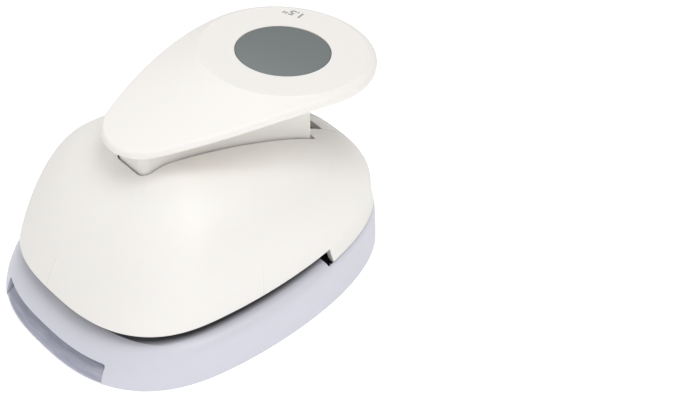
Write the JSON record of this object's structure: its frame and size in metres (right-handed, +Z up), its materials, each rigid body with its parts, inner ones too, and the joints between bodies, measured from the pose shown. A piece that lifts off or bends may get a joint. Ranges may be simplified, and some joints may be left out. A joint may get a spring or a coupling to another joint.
{
  "type": "circle craft punch",
  "caption": "Domed lever craft punch: teardrop lever with round thumb pad, paper throat round the front, round steel die set and hinged chip tray.",
  "frame": {"origin": "under the middle of the part, on the surface that it stands on", "axes": "+X to the rear, over which the thumb pad hangs; paper goes in from -X; +Z up"},
  "size_m": [0.1136, 0.084, 0.065],
  "materials": {
    "base_plastic": "satin lilac-grey moulded plastic",
    "tray_plastic": "translucent grey-blue moulded plastic",
    "white_plastic": "satin off-white moulded plastic",
    "inner_plastic": "plain moulded plastic",
    "disc_plastic": "matt grey plastic inlay",
    "steel": "stamped steel plate",
    "bright_steel": "plated steel",
    "spring_steel": "spring wire"
  },
  "bodies": {
    "punch_body": {"base_shell": "base_plastic", "upper_housing": "white_plastic", "die_plate": "steel", "guide_plate": "steel", "throat_spacer": "steel", "hinge_pin": "bright_steel", "guide_post_left": "bright_steel", "guide_post_right": "bright_steel", "post_clip_left": "spring_steel", "post_clip_right": "spring_steel", "return_spring_left": "spring_steel", "return_spring_right": "spring_steel", "pin_cap_left": "inner_plastic", "pin_cap_right": "inner_plastic", "plate_rivet_1": "bright_steel", "plate_rivet_2": "bright_steel", "plate_rivet_3": "bright_steel", "pin_cap_screw_1": "bright_steel", "pin_cap_screw_2": "bright_steel", "die_screw_1": "bright_steel", "die_screw_2": "bright_steel", "die_screw_3": "bright_steel", "die_screw_4": "bright_steel", "guide_screw_1": "bright_steel", "guide_screw_2": "bright_steel", "guide_screw_3": "bright_steel", "guide_screw_4": "bright_steel", "housing_screw_1": "bright_steel", "housing_screw_2": "bright_steel", "housing_screw_3": "bright_steel", "housing_screw_4": "bright_steel"},
    "lever": {"lever_shell": "white_plastic", "lever_body": "white_plastic", "size_disc": "disc_plastic", "lever_screw_1": "bright_steel", "lever_screw_2": "bright_steel"},
    "plunger": {"press_block": "inner_plastic", "punch_cutter": "bright_steel", "cutter_screw_1": "bright_steel", "cutter_screw_2": "bright_steel", "cutter_screw_3": "bright_steel"},
    "tray": {"chip_tray": "tray_plastic"}
  },
  "joints": [
    {"name": "lever_press", "type": "hinge", "parent": "punch_body", "child": "lever", "pos_m": [-0.02846, 0, 0.035], "axis": [0, 1, 0], "range_deg": [0, 16], "stiffness_Nm_per_rad": 0.78, "springref_deg": -15.93},
    {"name": "punch_slide", "type": "slide", "parent": "punch_body", "child": "plunger", "axis": [0, 0, -1], "range_m": [0, 0.0051], "deforming": ["return_spring_left", "return_spring_right"]},
    {"name": "tray_open", "type": "hinge", "parent": "punch_body", "child": "tray", "pos_m": [0.04504, 0, 0.005], "axis": [0, -1, 0], "range_deg": [0, 70]}
  ],
  "couplings": [
    {"joint": "punch_slide", "follows": "lever_press", "m_per_rad": 0.018}
  ]
}
